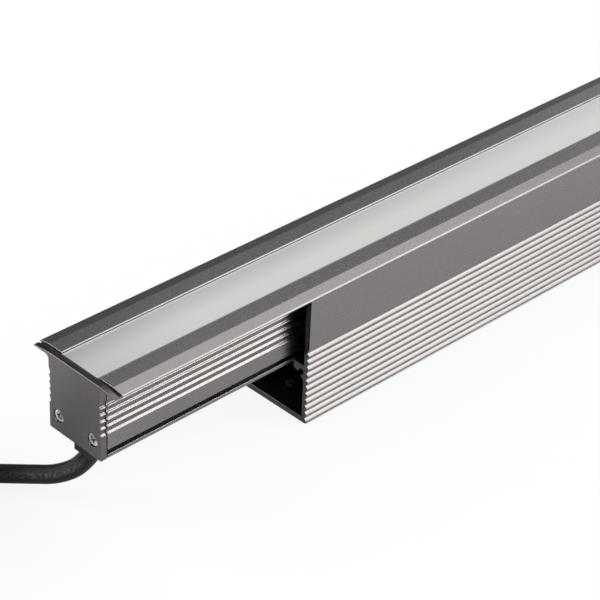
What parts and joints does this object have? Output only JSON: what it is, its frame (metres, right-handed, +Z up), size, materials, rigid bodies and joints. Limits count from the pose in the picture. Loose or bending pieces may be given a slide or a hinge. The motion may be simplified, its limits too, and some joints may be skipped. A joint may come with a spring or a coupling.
{
  "type": "linear wall washer light",
  "caption": "Slim outdoor wall washer light with a frosted window, drawn part way out of its ribbed installation channel, with a rubber cable and its coil.",
  "frame": {"origin": "the middle of the channel's underside, on the surface that the channel is screwed to", "axes": "+X along the lamp from its cable end to its far end, +Y across it, +Z up from the mounting surface to the window"},
  "size_m": [0.7169, 0.0969, 0.0655],
  "materials": {
    "channel_aluminium": "satin anodised, warm grey",
    "lamp_aluminium": "satin anodised, warm grey",
    "frosted_window": "frosted",
    "window_seal": "matte silicone",
    "cap_aluminium": "satin anodised, warm grey",
    "gasket_rubber": "matte",
    "screw_steel": "bright stainless",
    "thermal_pad": "matte",
    "board": "white solder mask",
    "led_lens": "clear yellow",
    "white_plastic": "moulded",
    "driver_case": "potted case",
    "foam_pad": "foam",
    "core_brown": "insulation",
    "core_blue": "insulation",
    "core_green": "insulation",
    "lead_red": "insulation",
    "grommet_rubber": "moulded, slightly glossy",
    "cable_rubber": "satin sheath"
  },
  "bodies": {
    "channel": {"channel": "channel_aluminium"},
    "lamp": {"lamp_profile": "lamp_aluminium", "diffuser": "frosted_window", "seal_near": "window_seal", "seal_far": "window_seal", "front_end_cap": "cap_aluminium", "rear_end_cap": "cap_aluminium", "front_gasket": "gasket_rubber", "rear_gasket": "gasket_rubber", "front_cap_screws": "screw_steel", "rear_cap_screws": "screw_steel", "thermal_pad": "thermal_pad", "led_board": "board", "leds": "led_lens", "board_screws": "screw_steel", "board_connector": "white_plastic", "driver": "driver_case", "driver_pad": "foam_pad", "terminal_block": "white_plastic", "terminal_screws": "screw_steel", "wire_live": "core_brown", "wire_neutral": "core_blue", "wire_earth": "core_green", "driver_leads": "core_blue", "led_leads": "lead_red", "earth_lead": "core_green", "earth_screw": "screw_steel", "cable_grommet": "grommet_rubber", "cord_tail": "cable_rubber", "cord": "cable_rubber", "cord_coil": "cable_rubber"}
  },
  "joints": [
    {"name": "lamp_slide", "type": "slide", "parent": "channel", "child": "lamp", "axis": [1, 0, 0], "range_m": [-0.14, 0.106]}
  ]
}
